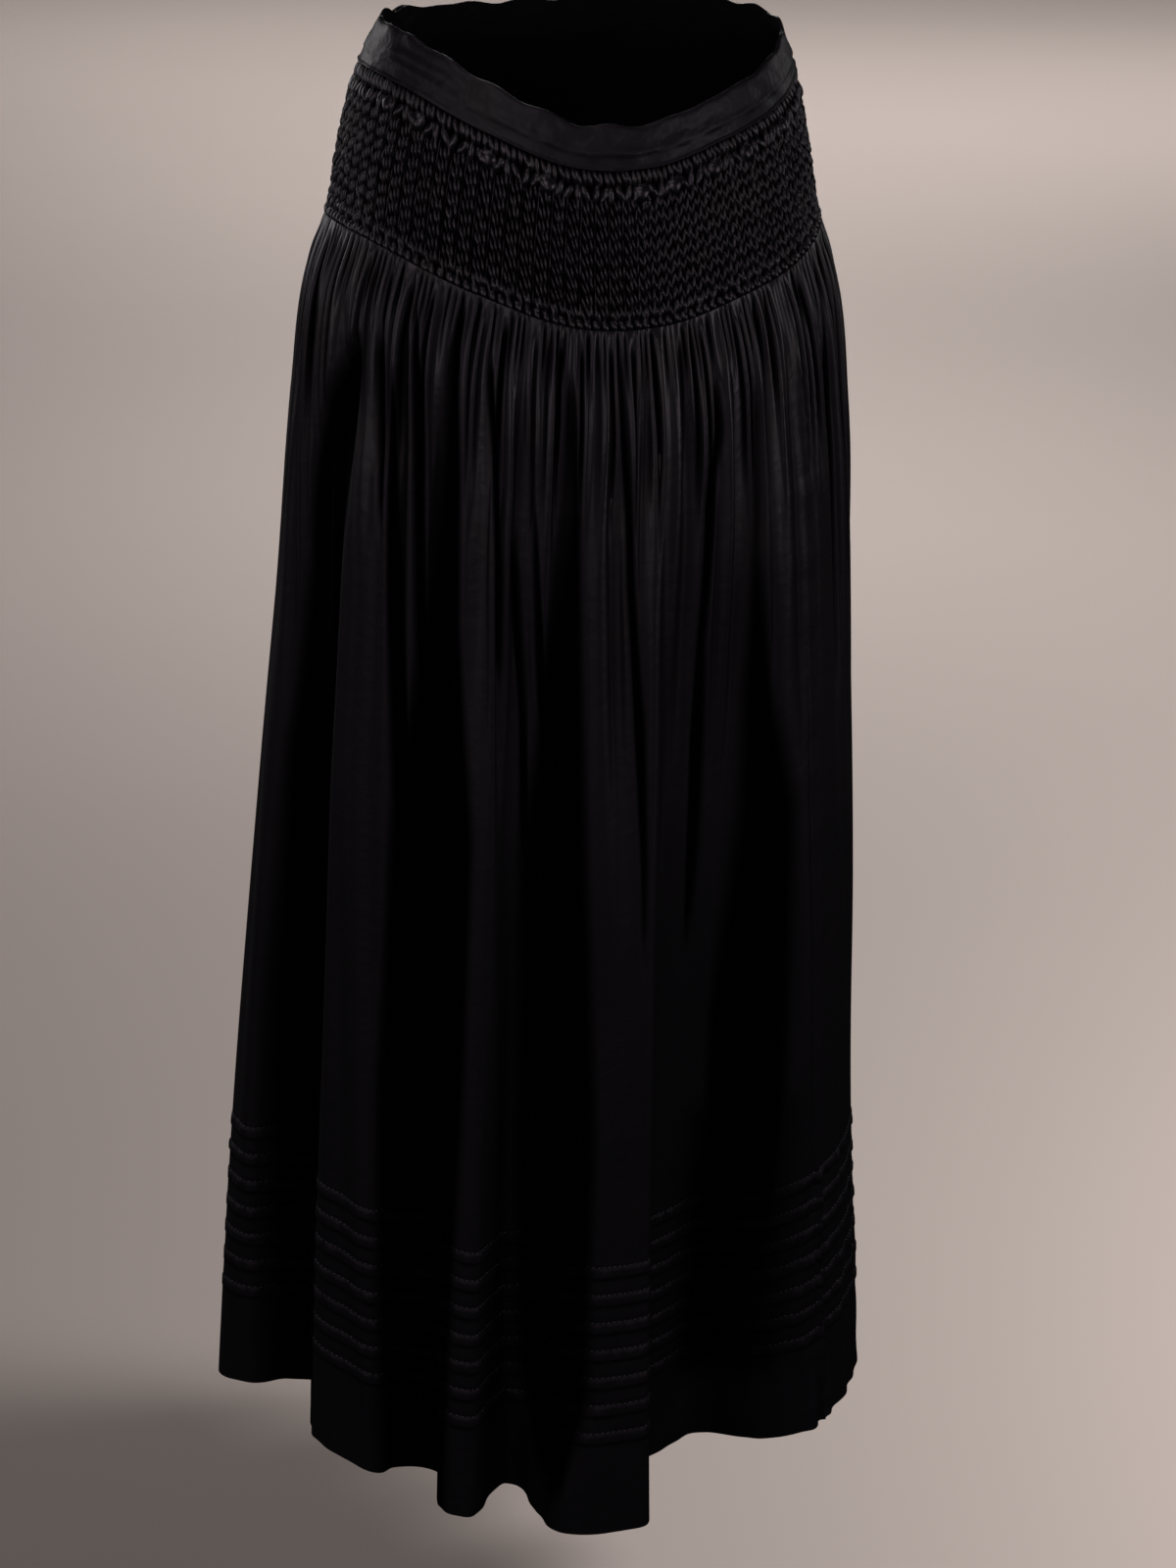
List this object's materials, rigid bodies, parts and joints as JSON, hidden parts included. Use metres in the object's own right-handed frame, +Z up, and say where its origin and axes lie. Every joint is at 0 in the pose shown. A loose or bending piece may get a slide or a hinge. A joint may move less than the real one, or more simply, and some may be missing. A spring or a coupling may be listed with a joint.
{
  "type": "smocked skirt",
  "caption": "Long black satin skirt, open at waist and hem: plain waistband, deep honeycomb-smocked top, gathered body in loose flutes, pin tucks above a plain hem.",
  "frame": {"origin": "middle of the waist, level with the waistband's top edge at the sides, where the wearer holds the skirt up", "axes": "+Z up the garment, -Y out of the front, +X to the wearer's left"},
  "size_m": [0.4864, 0.4168, 1.053],
  "materials": {
    "waistband": "black satin, double and pressed",
    "smocking": "black satin drawn into smocked pleats",
    "skirt": "black satin with a soft low sheen"
  },
  "bodies": {
    "root": {"waistband": "waistband", "smocked_top_front": "smocking", "smocked_top_back": "smocking", "skirt_front": "skirt", "skirt_back": "skirt"}
  },
  "joints": []
}
